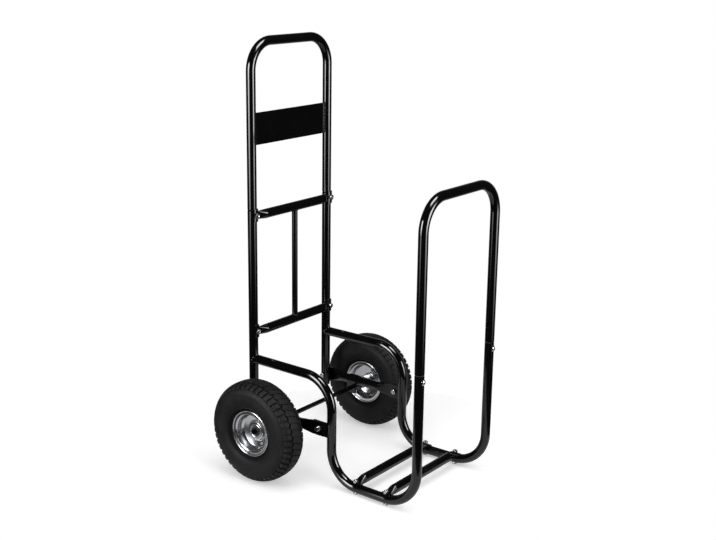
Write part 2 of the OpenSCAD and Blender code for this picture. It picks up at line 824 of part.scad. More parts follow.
cap_h = 1.2 * valve_d;
valve_stem_top_u = valve_tip_u - cap_h;

// Sweeps a flat shape along the valve's route: from the air tube between the discs, then outwards
module valve_route() {
    tube_low_r = inside_mid_r - inside_half_h;
    rotate(-90 + valve_angle) rotate([90, 0, 0])
        sweep_path([[tube_low_r - fit_gap, 0], [valve_r, 0], [valve_r, valve_stem_top_u]], [valve_d])
            children();
}

module outer_rim(s) {
    color(zinc)
    at_wheel(s)
    difference() {
        rim_half(boss_h);
        valve_route() circle(d = valve_d + 2 * hole_gap);
    }
}

module inner_rim(s) {
    color(zinc) at_wheel(s) mirror([0, 0, 1]) rim_half(0);
}

module hub(s) {
    color(zinc)
    at_wheel(s) translate([0, 0, hub_out_u - hub_l]) washer(hub_d, hub_d - 2 * hub_t, hub_l);
}

// Two bushes, one in each end of the hub
module bearings(s) {
    color(plastic)
    at_wheel(s) for (z = [hub_out_u - hub_l, hub_out_u - bush_l])
        translate([0, 0, z]) washer(hub_d - 2 * hub_t - weld_gap, axle_d + 2 * run_gap, bush_l);
}

module valve_stem(s) {
    color(plastic) at_wheel(s) valve_route() circle(d = valve_d);
}

module valve_cap(s) {
    color(zinc)
    at_wheel(s) rotate(-90 + valve_angle) translate([valve_r, 0, valve_stem_top_u + seat_gap])
        rotate_extrude()
            polygon([
                [0, 0], [valve_d * 0.6, 0], [valve_d * 0.6, valve_d],
                [valve_d * 0.45, cap_h - seat_gap], [0, cap_h - seat_gap]
            ]);
}

handle_loop();
handle_plate();
rear_leg(-1);  // rear_leg_left
rear_leg(1);  // rear_leg_right
leg_end_plugs();
crossbar(upper_bar_z);  // upper_crossbar
crossbar(lower_bar_z);  // lower_crossbar
back_brace();
side_tube(-1);  // side_tube_left
side_tube(1);  // side_tube_right
front_loop();
bottom_bar(foot_bar_rear_l);  // bottom_bar_rear
bottom_bar(foot_bar_front_l);  // bottom_bar_front
strut(-1);  // strut_left
strut(1);  // strut_right
strut_lug(-1);  // strut_lug_left
strut_lug(1);  // strut_lug_right
axle_bracket(-1);  // axle_bracket_left
axle_bracket(1);  // axle_bracket_right
axle();
axle_spacers();
axle_washers();
axle_cotter_pins();
crossbar_bolts();
crossbar_nuts();
front_loop_bolts();
front_loop_nuts();
bottom_bar_bolts();
bottom_bar_nuts();
strut_bolts();
strut_washers();
strut_nuts();
tyre(-1);  // tyre_left
inner_tube(-1);  // inner_tube_left
outer_rim(-1);  // outer_rim_left
inner_rim(-1);  // inner_rim_left
hub(-1);  // hub_left
bearings(-1);  // bearings_left
valve_stem(-1);  // valve_stem_left
valve_cap(-1);  // valve_cap_left
tyre(1);  // tyre_right
inner_tube(1);  // inner_tube_right
outer_rim(1);  // outer_rim_right
inner_rim(1);  // inner_rim_right
hub(1);  // hub_right
bearings(1);  // bearings_right
valve_stem(1);  // valve_stem_right
valve_cap(1);  // valve_cap_right
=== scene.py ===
import json
import math

import bmesh
import bpy
from mathutils import Matrix, Vector


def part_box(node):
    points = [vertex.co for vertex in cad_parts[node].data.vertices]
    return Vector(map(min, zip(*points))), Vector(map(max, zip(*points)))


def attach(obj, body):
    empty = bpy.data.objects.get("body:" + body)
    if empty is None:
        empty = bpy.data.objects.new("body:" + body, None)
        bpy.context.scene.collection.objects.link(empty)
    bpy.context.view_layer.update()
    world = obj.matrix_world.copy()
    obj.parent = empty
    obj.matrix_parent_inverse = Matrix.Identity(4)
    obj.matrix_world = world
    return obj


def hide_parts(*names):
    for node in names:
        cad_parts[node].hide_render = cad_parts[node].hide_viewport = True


# Looks of the fireside log cart. Metres; X runs across the cart, -Y points to the loading bay, +Z is up.
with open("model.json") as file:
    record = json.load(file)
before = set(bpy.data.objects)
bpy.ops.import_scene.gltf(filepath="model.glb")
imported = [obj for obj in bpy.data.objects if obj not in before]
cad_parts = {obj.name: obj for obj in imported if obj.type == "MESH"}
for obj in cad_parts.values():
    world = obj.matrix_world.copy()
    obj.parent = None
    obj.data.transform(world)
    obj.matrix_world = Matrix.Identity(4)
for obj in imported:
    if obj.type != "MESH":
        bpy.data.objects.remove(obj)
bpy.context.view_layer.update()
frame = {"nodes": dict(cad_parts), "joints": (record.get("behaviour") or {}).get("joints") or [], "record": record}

MM = 0.001
TAU = 2 * math.pi
SIDES = (("left", -1), ("right", 1))
BACK = Vector((0, 1, 0))
UP = Vector((0, 0, 1))


# ---------------------------------------------------------------- places and sizes of the frame
def middle(node):
    low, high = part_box(node)
    return (low + high) / 2


def joint_place(name):
    joint = next(j for j in frame["joints"] if j["name"] == name)
    return Vector(joint["pos_m"])


TUBE_R = 12.5 * MM
WHEEL = {side: joint_place(f"wheel_{side}_spin") for side, _ in SIDES}
LEG_Y = middle("rear_leg_right").y
REAR_HALF = middle("rear_leg_right").x
FRONT_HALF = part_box("front_loop")[1].x - TUBE_R
FRONT_Y = middle("front_loop").y
SPREAD = math.atan2(FRONT_HALF - REAR_HALF, LEG_Y - FRONT_Y)
STRUT_Z = middle("strut_right").z
BOTTOM_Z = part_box("side_tube_right")[0].z + TUBE_R
SHELF_Z = 291 * MM
RISER_L = 273.5 * MM
LUG_BOLT_L = RISER_L - 33.5 * MM
LUG_T = 4 * MM
LUG_HALF_H = 20 * MM
BRACE_R = 8 * MM
FOOT_BARS = tuple((LEG_Y - middle(n).y) / math.cos(SPREAD) for n in ("bottom_bar_rear", "bottom_bar_front"))
BAR_HEIGHTS = tuple(middle(n).z for n in ("upper_crossbar", "lower_crossbar"))
FRONT_BOLT_Z = middle("front_loop_bolts").z
SLOT = {part["node"]: part["material_slot"] for part in frame["record"]["subparts"]}

# Fasteners
HEX_AF = 13 * MM
HEX_TOP_R = 0.94 * HEX_AF / 2
CHAMFER_SLOPE = math.tan(math.radians(30))
HEAD_H = 5.3 * MM
FOOT_HEAD_H = 4 * MM
FRONT_HEAD_R = 7.5 * MM
FRONT_HEAD_TOP_R = 4.5 * MM
FRONT_HEAD_H = 3.2 * MM
NUT_H = 6.5 * MM
BOLT_R = 4 * MM
BOLT_PROUD = 2 * MM
BOLT_TIP = 0.8 * MM
THREAD_PITCH = 1.25 * MM
THREAD_DEPTH = 0.65 * MM
WASHER_BORE_R = 4.2 * MM
WASHER_R = 8 * MM
WASHER_T = 1.6 * MM
SEAT_GAP = 0.05 * MM
SADDLE_OUT = 15.65 * MM
STRUT_HEAD_OFF = 17.35 * MM
BORE_TUBE_R = 11 * MM
BORE_SWAGE_R = 9.35 * MM

# Axle fittings
AXLE_R = 6.5 * MM
AXLE_GAP = 0.2 * MM
SPACER_R = 11 * MM
SPACER_GAP = 0.15 * MM
AXLE_WASHER_R = 12 * MM
HUB_GAP = 0.3 * MM
COTTER_GAP = 1 * MM
COTTER_HALF = 1.6 * MM
COTTER_LEG_R = 0.8 * MM
COTTER_EYE_R = 3 * MM

# Wheels, as radius and distance u outwards from the middle of the wheel
TYRE_R = WHEEL["left"].z
TYRE_HALF_W = 44 * MM
TYRE_LOW_R = 57 * MM
TYRE_WALL = 7 * MM
TYRE_SQUARENESS = 2.6
TREAD_COUNT = 48
RIM_T = 2 * MM
RIM_GAP = 0.05 * MM
LIP_R = 61 * MM
LIP_U = 30 * MM
LIP_ROLL_R = 2 * MM
SEAT_R = 50.8 * MM
BOSS_R = 24 * MM
BOSS_H = 6.2 * MM
BOSS_FOOT_R = 28 * MM
DISH_R = 43.8 * MM
DISH_RISE = (DISH_R - BOSS_FOOT_R) * math.tan(math.radians(15))
HUB_R = 17 * MM
HUB_OUT_U = 8.5 * MM
HUB_L = 57 * MM
BORE_R = 12.5 * MM
BUSH_L = 20 * MM
BUSH_GAP = 0.06 * MM

# Welds
WELD_R = 1.75 * MM
WELD_STEP = 0.8 * MM
WELD_INSET = 3 * MM
HUB_WELD_RIPPLE = 0.2

# Edges sharper than this many degrees are shaded sharp
SHARP_BOLT = 30
SHARP_TUBE = 32
SHARP_TYRE = 32
SHARP_RING = 35
SHARP_PIN = 40
SHARP_TURNED = 50
SHARP_WELD = 60


# ---------------------------------------------------------------- node trees
class Nodes:
    """A node tree under construction; every call adds nodes and returns the last one's output."""

    def __init__(self, tree):
        self.tree = tree

    def node(self, kind, inputs, **settings):
        node = self.tree.nodes.new(kind)
        for key, value in settings.items():
            setattr(node, key, value)
        for key, value in inputs.items():
            self.put(node.inputs[key], value)
        return node.outputs[0]

    def put(self, socket, value):
        if isinstance(value, bpy.types.NodeSocket):
            self.tree.links.new(value, socket)
        else:
            socket.default_value = value

    def coordinates(self, kind):
        return self.node("ShaderNodeTexCoord", {}).node.outputs[kind]

    def spread(self, value, low, high, to_low, to_high, **settings):
        return self.node("ShaderNodeMapRange", {
            "Value": value, "From Min": low, "From Max": high, "To Min": to_low, "To Max": to_high,
        }, **settings)

    def math(self, operation, a, b=0.0):
        return self.node("ShaderNodeMath", {0: a, 1: b}, operation=operation)

    def mix(self, factor, a, b):
        return self.node("ShaderNodeMix", {0: factor, 2: a, 3: b})

    def blend(self, factor, a, b):
        """Mix of two colours."""
        return self.node("ShaderNodeMix", {0: factor, 6: a, 7: b}, data_type="RGBA").node.outputs[2]

    def ray_kind(self, *names):
        """1 for rays of any of the named kinds, else 0."""
        path = self.tree.nodes.new("ShaderNodeLightPath")
        total = path.outputs[names[0]]
        for name in names[1:]:
            total = self.math("MAXIMUM", total, path.outputs[name])
        return total


class Finish(Nodes):
    """A node material under construction."""

    def __init__(self, name):
        self.material = bpy.data.materials.new(name)
        self.material.use_nodes = True
        super().__init__(self.material.node_tree)
        self.shader = self.tree.nodes["Principled BSDF"]
        self.place = self.coordinates("Object")

    def set(self, **values):
        for key, value in values.items():
            self.put(self.shader.inputs[key.replace("_", " ")], value)

    def noise(self, scale, detail=2.0, rough=0.5, place=None):
        return self.node("ShaderNodeTexNoise", {
            "Vector": place or self.place, "Scale": scale, "Detail": detail, "Roughness": rough,
        })

    def vary(self, noise, low, high):
        """Takes a noise, most of which lies between 0.3 and 0.7, to the range from low to high."""
        return self.spread(noise, 0.3, 0.7, low, high)

    def stretched(self, scale):
        return self.node("ShaderNodeVectorMath", {0: self.place, 1: scale}, operation="MULTIPLY")

    def bump(self, height, distance, strength):
        return self.node("ShaderNodeBump", {"Height": height, "Distance": distance, "Strength": strength})

    def wheel_radius(self, side):
        """Distance from the wheel's axis, for marks that run around it."""
        offset = self.node("ShaderNodeVectorMath", {0: self.place, 1: WHEEL[side]}, operation="SUBTRACT")
        flat = self.node("ShaderNodeVectorMath", {0: offset, 1: (0, 1, 1)}, operation="MULTIPLY")
        return self.node("ShaderNodeVectorMath", {0: flat}, operation="LENGTH").node.outputs["Value"]

    def rings(self, radius, pitch):
        """Waves that run out from the wheel's axis."""
        return self.math("SINE", self.math("MULTIPLY", radius, TAU / pitch))


# ---------------------------------------------------------------- finishes
def black_coat():
    """Gloss black powder coat: orange peel, slow changes in gloss and a few dull scuffs."""
    f = Finish("black_coat")
    peel = f.noise(260.0, 0.0)
    cloud = f.noise(16.0, 3.0)
    scuffs = f.spread(f.noise(45.0, 4.0, 0.6, f.stretched((1.0, 1.0, 0.35))), 0.62, 0.74, 0.0, 1.0)
    gloss = f.vary(cloud, 0.08, 0.12)
    dull = f.math("MULTIPLY", scuffs, 0.05)
    colour = f.blend(cloud, (0.0012, 0.0012, 0.0013, 1), (0.0022, 0.0022, 0.0024, 1))
    f.set(
        Base_Color=f.blend(f.math("MULTIPLY", scuffs, 0.5), colour, (0.006, 0.006, 0.0065, 1)),
        Roughness=f.math("ADD", gloss, dull),
        Specular_IOR_Level=0.5,
        Normal=f.bump(peel, 0.02 * MM, 0.07),
    )
    return f.material


def zinc_plate():
    """Zinc-plated fasteners: mottled, a little rubbed."""
    f = Finish("zinc_plate")
    mottle = f.noise(900.0, 4.0, 0.65)
    grain = f.noise(3000.0, 2.0)
    f.set(
        Base_Color=f.blend(mottle, (0.46, 0.46, 0.47, 1), (0.62, 0.62, 0.61, 1)),
        Metallic=1.0,
        Roughness=f.vary(mottle, 0.14, 0.26),
        Normal=f.bump(grain, 0.03 * MM, 0.2),
    )
    return f.material


def bright_zinc(side):
    """Polished zinc on the pressed rims: faint spun rings and a slow waviness."""
    f = Finish(f"bright_zinc_{side}")
    radius = f.wheel_radius(side)
    rings = f.rings(radius, 0.8 * MM)
    waves = f.noise(55.0, 2.0)
    clouds = f.noise(140.0, 4.0, 0.6)
    height = f.math("ADD", f.math("MULTIPLY", rings, 0.05), waves)
    f.set(
        Base_Color=f.blend(clouds, (0.45, 0.455, 0.47, 1), (0.51, 0.515, 0.53, 1)),
        Metallic=1.0,
        Roughness=f.vary(clouds, 0.17, 0.22),
        Normal=f.bump(height, 0.05 * MM, 0.15),
    )
    return f.material


def tyre_rubber(side):
    """Charcoal rubber: fine rings low on the side wall, a dusty bloom that fades out next to the rim as painted
    shade, grain and a pale shoulder edge of worn rubber and painted highlight.
    """
    f = Finish(f"tyre_rubber_{side}")
    radius = f.wheel_radius(side)
    bloom = f.noise(38.0, 5.0, 0.6)
    grain = f.noise(1500.0, 3.0)
    rings = f.rings(radius, 1.6 * MM)
    low_wall = f.spread(radius, 96 * MM, 108 * MM, 1.0, 0.0)
    height = f.math("ADD", grain, f.math("MULTIPLY", f.math("MULTIPLY", rings, low_wall), 0.12))
    # Painted shade: the dust fades out towards the rim, so the side wall is darker next to the rim lip.
    rim_shade_factor = f.spread(radius, 70 * MM, 100 * MM, 0.15, 1.0)
    dust_and_rim_shade = f.math("MULTIPLY", f.spread(bloom, 0.35, 0.7, 0.2, 1), rim_shade_factor)
    # Pale band at the shoulder edge: worn rubber and a painted highlight of light catching the lug edges.
    edge = f.math(
        "MULTIPLY", f.spread(radius, 122 * MM, 124.2 * MM, 0, 1), f.spread(radius, 124.8 * MM, 127 * MM, 1, 0))
    wear_and_highlight = f.math("MULTIPLY", edge, f.spread(f.noise(120.0, 3.0, 0.6), 0.42, 0.62, 0, 1))
    rubber = f.blend(dust_and_rim_shade, (0.004, 0.004, 0.0043, 1), (0.016, 0.016, 0.0165, 1))
    f.set(
        Base_Color=f.blend(wear_and_highlight, rubber, (0.06, 0.059, 0.057, 1)),
        Roughness=f.vary(bloom, 0.52, 0.68),
        Specular_IOR_Level=0.13,
        Normal=f.bump(height, 0.10 * MM, 0.5),
    )
    return f.material


def soft_rubber():
    """Plain black rubber of the inner tubes and valve stems."""
    f = Finish("soft_rubber")
    bloom = f.noise(260.0, 4.0)
    f.set(
        Base_Color=f.blend(bloom, (0.012, 0.012, 0.012, 1), (0.022, 0.022, 0.021, 1)),
        Roughness=f.vary(bloom, 0.5, 0.7),
        Normal=f.bump(f.noise(2400.0, 2.0), 0.05 * MM, 0.5),
    )
    return f.material


def moulded_plastic():
    """Black plastic of the leg plugs and bushes."""
    f = Finish("moulded_plastic")
    mottle = f.noise(420.0, 3.0)
    f.set(
        Base_Color=f.blend(mottle, (0.008, 0.008, 0.009, 1), (0.014, 0.014, 0.014, 1)),
        Roughness=f.vary(mottle, 0.38, 0.5),
        Normal=f.bump(f.noise(1800.0, 2.0), 0.05 * MM, 0.6),
    )
    return f.material


def dark_oxide():
    """Black oxide on the axle's washers and cotter pins."""
    f = Finish("dark_oxide")
    mottle = f.noise(700.0, 4.0, 0.6)
    f.set(
        Base_Color=f.blend(mottle, (0.020, 0.020, 0.021, 1), (0.045, 0.044, 0.043, 1)),
        Metallic=0.6,
        Roughness=f.vary(mottle, 0.32, 0.5),
        Normal=f.bump(f.noise(2500.0, 2.0), 0.03 * MM, 0.5),
    )
    return f.material


BLACK_COAT = black_coat()
ZINC = zinc_plate()
OXIDE = dark_oxide()
RUBBER = soft_rubber()
PLASTIC = moulded_plastic()
BRIGHT = {side: bright_zinc(side) for side, _ in SIDES}
TYRE = {side: tyre_rubber(side) for side, _ in SIDES}


# ---------------------------------------------------------------- mesh helpers
def wrap(angle):
    return (angle + math.pi) % TAU - math.pi


def rounded(corners, steps, closed=False):
    """Outline points of (a, b, radius) corners, with an arc at each corner that has a radius."""
    points = []
    count = len(corners)
    for i, (a, b, radius) in enumerate(corners):
        here = Vector((a, b))
        if radius == 0 or (not closed and i in (0, count - 1)):
            points.append(here)
            continue
        back = (Vector(corners[i - 1][:2]) - here).normalized()
        ahead = (Vector(corners[(i + 1) % count][:2]) - here).normalized()
        half = back.angle(ahead) / 2
        centre = here + (back + ahead).normalized() * (radius / math.sin(half))
        start = here + back * (radius / math.tan(half)) - centre
        end = here + ahead * (radius / math.tan(half)) - centre
        first = math.atan2(start.y, start.x)
        arc = wrap(math.atan2(end.y, end.x) - first)
        for k in range(steps + 1):
            angle = first + arc * k / steps
            points.append(centre + Vector((math.cos(angle), math.sin(angle))) * radius)
    return points


def tube_section(inner, outer, low, high, inner_edge, outer_edge):
    """Outline of a ring with rounded edges, for lathe."""
    return rounded([
        (inner, low, inner_edge), (outer, low, outer_edge), (outer, high, outer_edge), (inner, high, inner_edge),
    ], 3, closed=True)


def turned(place, radius, turn, height):
    """Point at a radius, an angle and a height about the z of place."""
    return place @ Vector((radius * math.cos(turn), radius * math.sin(turn), height))


def skin(bm, rings, closed):
    """Faces between rings of vertices that stand around an axis; closed joins the ends of each ring."""
    count = len(rings[0])
    for k, a in enumerate(rings):
        b = rings[(k + 1) % len(rings)]
        for i in range(count if closed else count - 1):
            j = (i + 1) % count
            bm.faces.new((a[i], b[i], b[j], a[j]))


def lathe(bm, outline, place, segments, closed=False):
    """Turns an outline of (radius, height) points, or a function of the angle that gives one, about z."""
    rings = []
    for k in range(segments):
        turn = TAU * k / segments
        points = outline(turn) if callable(outline) else outline
        rings.append([bm.verts.new(turned(place, p[0], turn, p[1])) for p in points])
    skin(bm, rings, closed)


def sweep(bm, path, radius, sides, closed=False):
    """Tube along a path of points; radius is a number or a function of the point's index."""
    count = len(path)
    rings = []
    across = None
    for i, point in enumerate(path):
        ahead = path[(i + 1) % count] if closed or i < count - 1 else path[i]
        back = path[i - 1] if closed or i > 0 else path[i]
        heading = (ahead - back).normalized()
        if across is None:
            across = heading.orthogonal()
        across = (across - heading * across.dot(heading)).normalized()
        up = heading.cross(across)
        r = radius(i) if callable(radius) else radius
        rings.append([
            bm.verts.new(point + (across * math.cos(TAU * k / sides) + up * math.sin(TAU * k / sides)) * r)
            for k in range(sides)
        ])
    for i in range(count if closed else count - 1):
        a, b = rings[i], rings[(i + 1) % count]
        for k in range(sides):
            bm.faces.new((a[k], a[(k + 1) % sides], b[(k + 1) % sides], b[k]))
    if not closed:
        bm.faces.new(rings[0][::-1])
        bm.faces.new(rings[-1])


def shade(mesh, sharp):
    mesh.shade_smooth()
    mesh.set_sharp_from_angle(angle=math.radians(sharp))


def finished(name, bm, material, body, sharp, replaces=()):
    bmesh.ops.remove_doubles(bm, verts=bm.verts, dist=0.002 * MM)
    bmesh.ops.recalc_face_normals(bm, faces=bm.faces)
    mesh = bpy.data.meshes.new(name)
    bm.to_mesh(mesh)
    bm.free()
    shade(mesh, sharp)
    mesh.materials.append(material)
    piece = bpy.data.objects.new(name, mesh)
    bpy.context.scene.collection.objects.link(piece)
    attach(piece, body)
    if replaces:
        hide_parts(*replaces)
    return piece


def facing(point, axis):
    """Matrix that puts the origin at point and turns z to axis."""
    return Matrix.Translation(point) @ Vector(axis).to_track_quat("Z", "Y").to_matrix().to_4x4()


# ---------------------------------------------------------------- finishes of the frame's own solids
NODE_FINISH = {
    "black_paint": BLACK_COAT, "zinc_plate": ZINC, "tyre_rubber": RUBBER, "tube_rubber": RUBBER,
    "black_plastic": PLASTIC,
}
FACETED_NODES = (
    "upper_crossbar", "lower_crossbar", "bottom_bar_rear", "bottom_bar_front", "strut_left", "strut_right",
)


def dress_frame():
    """Gives each solid its finish, and smooth shading to those whose tapers are faceted."""
    for name, slot in SLOT.items():
        materials = frame["nodes"][name].data.materials
        materials.clear()
        materials.append(BRIGHT[name.rsplit("_", 1)[1]] if slot == "bright_zinc" else NODE_FINISH[slot])
    for name in FACETED_NODES:
        shade(frame["nodes"][name].data, SHARP_TUBE)


# ---------------------------------------------------------------- bolts, nuts and washers
def hex_radius(turn):
    return HEX_AF / 2 / math.cos((turn + TAU / 12) % (TAU / 6) - TAU / 12)


def thread_radius(turn, z, limit):
    wave = abs(((z / THREAD_PITCH - turn / TAU) % 1) * 2 - 1)
    return min(BOLT_R - THREAD_DEPTH * wave, limit)


def bolt(bm, place, length, head_h):
    """A hexagon bolt: its head lies below z = 0 and its shank runs up to length."""
    dish = 0.25 * MM
    face_h = 0.4 * MM
    run_out = 2 * MM
    thread_z = length - NUT_H - BOLT_PROUD - run_out
    steps = 30

    def outline(turn):
        corner = hex_radius(turn)
        points = [
            (0, dish - head_h), (0.6 * HEX_TOP_R, dish - head_h), (0.68 * HEX_TOP_R, -head_h),
            (HEX_TOP_R, -head_h), (corner, (corner - HEX_TOP_R) * CHAMFER_SLOPE - head_h),
            (corner, -face_h), (HEX_TOP_R, -face_h), (HEX_TOP_R, 0), (BOLT_R, 0), (BOLT_R, thread_z),
        ]
        for k in range(steps + 1):
            z = thread_z + (length - thread_z) * k / steps
            points.append((thread_radius(turn, z, BOLT_R - BOLT_TIP + length - z), z))
        points.append((0, length))
        return points

    lathe(bm, outline, place, 36)


def round_head_bolt(bm, place, length):
    """A bolt with a low domed head below z = 0."""
    dome_r = 5 * MM
    edge = 0.2 * MM
    outline = rounded([
        (0, -FRONT_HEAD_H, 0), (FRONT_HEAD_TOP_R, -FRONT_HEAD_H, dome_r), (FRONT_HEAD_R, -edge, edge),
        (FRONT_HEAD_R - edge, 0, 0), (BOLT_R, 0, 0), (BOLT_R, length - BOLT_TIP, 0),
        (BOLT_R - BOLT_TIP, length, 0), (0, length, 0),
    ], 5)
    lathe(bm, outline, place, 48)


def nut(bm, place):
    """A hexagon nut that stands on z = 0."""
    bore = BOLT_R + 0.1 * MM
    chamfer = 0.6 * MM

    def outline(turn):
        corner = hex_radius(turn)
        rise = (corner - HEX_TOP_R) * CHAMFER_SLOPE
        return [
            (bore, chamfer), (bore + chamfer, 0), (HEX_TOP_R, 0), (corner, rise), (corner, NUT_H - rise),
            (HEX_TOP_R, NUT_H), (bore + chamfer, NUT_H), (bore, NUT_H - chamfer),
        ]

    lathe(bm, outline, place, 36, closed=True)


def ring(bm, place, inner, outer, height, edge):
    """A flat ring on z = 0 with a rounded outer edge."""
    lathe(bm, tube_section(inner, outer, 0, height, 0, edge), place, 64, closed=True)


def group(node, material, build, items, sharp):
    """Builds small parts of one kind in place of their node; an item is what build takes after the mesh."""
    bm = bmesh.new()
    for item in items:
        build(bm, *item)
    finished(f"{node}_detail", bm, material, "frame", sharp, [node])


def side_point(sign, ahead, off, z):
    """Point beside a side tube: ahead of the rear leg along the tube, off outwards from its centre line."""
    x = REAR_HALF + ahead * math.sin(SPREAD) + off * math.cos(SPREAD)
    y = LEG_Y - ahead * math.cos(SPREAD) + off * math.sin(SPREAD)
    return Vector((sign * x, y, z))


def strut_place(sign, ahead, off):
    """Place on the line of a strut bolt, with z towards the middle of the cart."""
    outwards = Vector((sign * math.cos(SPREAD), math.sin(SPREAD), 0))
    return facing(side_point(sign, ahead, off, STRUT_Z), -outwards)


def inside_bolt_length(start, inner_r):
    """Length of a bolt from start to beyond its nut, which stands in a tube of inner radius inner_r."""
    corner_r = HEX_AF / 2 / math.cos(math.radians(30))
    nut_seat = math.sqrt(inner_r ** 2 - corner_r ** 2) - SEAT_GAP
    return NUT_H + BOLT_PROUD - nut_seat - start


def fasteners():
    start = -SADDLE_OUT - SEAT_GAP
    group("crossbar_bolts", ZINC, bolt, [
        (facing((s * REAR_HALF, LEG_Y + start, z), BACK), inside_bolt_length(start, inner_r), HEAD_H)
        for z, inner_r in zip(BAR_HEIGHTS, (BORE_SWAGE_R, BORE_TUBE_R)) for _, s in SIDES
    ], SHARP_BOLT)

    start = -TUBE_R - SEAT_GAP
    group("front_loop_bolts", ZINC, round_head_bolt, [
        (facing((s * FRONT_HALF, FRONT_Y + start, FRONT_BOLT_Z), BACK), inside_bolt_length(start, BORE_SWAGE_R))
        for _, s in SIDES
    ], SHARP_BOLT)

    feet = [side_point(s, ahead, 0, 0) for _, s in SIDES for ahead in FOOT_BARS]
    nut_z = BOTTOM_Z + SADDLE_OUT + SEAT_GAP
    foot_length = nut_z - BOTTOM_Z + TUBE_R + NUT_H + BOLT_PROUD
    group("bottom_bar_bolts", ZINC, bolt, [
        (facing((p.x, p.y, BOTTOM_Z - TUBE_R), UP), foot_length, FOOT_HEAD_H) for p in feet
    ], SHARP_BOLT)
    group("bottom_bar_nuts", ZINC, nut, [(facing((p.x, p.y, nut_z), UP),) for p in feet], SHARP_BOLT)

    ends = ((0.0, -TUBE_R - SEAT_GAP), (LUG_BOLT_L, TUBE_R - LUG_T - SEAT_GAP))
    holes = [(s, ahead, nut_off) for _, s in SIDES for ahead, nut_off in ends]
    group("strut_bolts", ZINC, bolt, [
        (strut_place(s, ahead, STRUT_HEAD_OFF), STRUT_HEAD_OFF - nut_off + NUT_H + BOLT_PROUD, HEAD_H)
        for s, ahead, nut_off in holes
    ], SHARP_BOLT)
    group("strut_nuts", ZINC, nut, [(strut_place(*hole),) for hole in holes], SHARP_BOLT)
    group("strut_washers", ZINC, ring, [
        (strut_place(s, ahead, STRUT_HEAD_OFF - SEAT_GAP), WASHER_BORE_R, WASHER_R, WASHER_T, 0.35 * MM)
        for s, ahead, _ in holes
    ], SHARP_BOLT)


def cotter_leg(way):
    """Centre line of one leg of a cotter pin: half of its eye, its shank and its bent tip."""
    points = []
    for k in range(9):
        angle = math.radians(-90 + way * (8 + 172 * k / 8))
        points.append(Vector((0, COTTER_EYE_R * math.cos(angle), COTTER_EYE_R + COTTER_EYE_R * math.sin(angle))))
    points.reverse()
    below = -AXLE_R * 2
    points += [
        Vector((0, way * COTTER_LEG_R, -2 * MM)),
        Vector((0, way * COTTER_LEG_R, below - 1 * MM)),
        Vector((0, way * (COTTER_LEG_R + 1.2 * MM), below - 3.5 * MM)),
        Vector((0, way * (COTTER_LEG_R + 4.2 * MM), below - 4.8 * MM)),
    ]
    return points


def axle_fittings():
    """Spacers, washers and cotter pins on the axle."""
    bore = AXLE_R + AXLE_GAP
    spacer_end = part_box("axle_spacers")[1].x
    spacer_l = (spacer_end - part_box("axle_bracket_right")[1].x) - SPACER_GAP
    washer_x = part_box("hub_right")[1].x + HUB_GAP
    washer_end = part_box("axle_washers")[1].x
    pin_x = (washer_end + COTTER_GAP) + COTTER_HALF

    def on_axle(side, sign, x):
        return facing((sign * x, WHEEL[side].y, WHEEL[side].z), (sign, 0, 0))

    group("axle_spacers", ZINC, ring, [
        (on_axle(side, s, spacer_end - spacer_l), bore, SPACER_R, spacer_l, 0.6 * MM) for side, s in SIDES
    ], SHARP_RING)
    group("axle_washers", OXIDE, ring, [
        (on_axle(side, s, washer_x), bore, AXLE_WASHER_R, washer_end - washer_x, 0.4 * MM) for side, s in SIDES
    ], SHARP_RING)

    legs = []
    for side, s in SIDES:
        centre = WHEEL[side]
        place = Matrix.Translation((s * pin_x, centre.y, centre.z + AXLE_R + 1 * MM))
        legs += [([place @ p for p in cotter_leg(way)], COTTER_LEG_R, 8) for way in (-1, 1)]
    group("axle_cotter_pins", OXIDE, sweep, legs, SHARP_PIN)


# ---------------------------------------------------------------- weld beads
def weld(bm, path, closed=False, ripple=1.0):
    """A rippled fillet bead along a path."""
    points = []
    count = len(path)
    for i in range(count if closed else count - 1):
        a, b = path[i], path[(i + 1) % count]
        parts = max(1, round((b - a).length / WELD_STEP))
        points.extend(a.lerp(b, k / parts) for k in range(parts))
    if not closed:
        points.append(path[-1])

    def radius(i):
        end = 1.0 if closed else min(1.0, (min(i, len(points) - 1 - i) + 1.5) / 4)
        waves = (0.18 * math.sin(i * 1.9) + 0.45 * math.sin(i * 0.56)) * MM
        return (WELD_R + ripple * waves) * end

    sweep(bm, points, radius, 8, closed)


def pipe_joint(centre, main_axis, branch_axis, branch_r, steps=48):
    """Curve where a branch tube meets a frame tube at right angles."""
    side = Vector(main_axis).cross(Vector(branch_axis)).normalized()
    points = []
    for k in range(steps):
        angle = TAU * k / steps
        across = branch_r * math.sin(angle)
        reach = math.sqrt(max(TUBE_R ** 2 - across ** 2, 0))
        points.append(
            Vector(centre) + Vector(main_axis) * (branch_r * math.cos(angle)) + side * across
            + Vector(branch_axis) * reach)
    return points


def weld_group(name, beads, material, body):
    """One object of several beads; a bead is what weld takes after the mesh."""
    bm = bmesh.new()
    for bead in beads:
        weld(bm, *bead)
    finished(name, bm, material, body, SHARP_WELD)


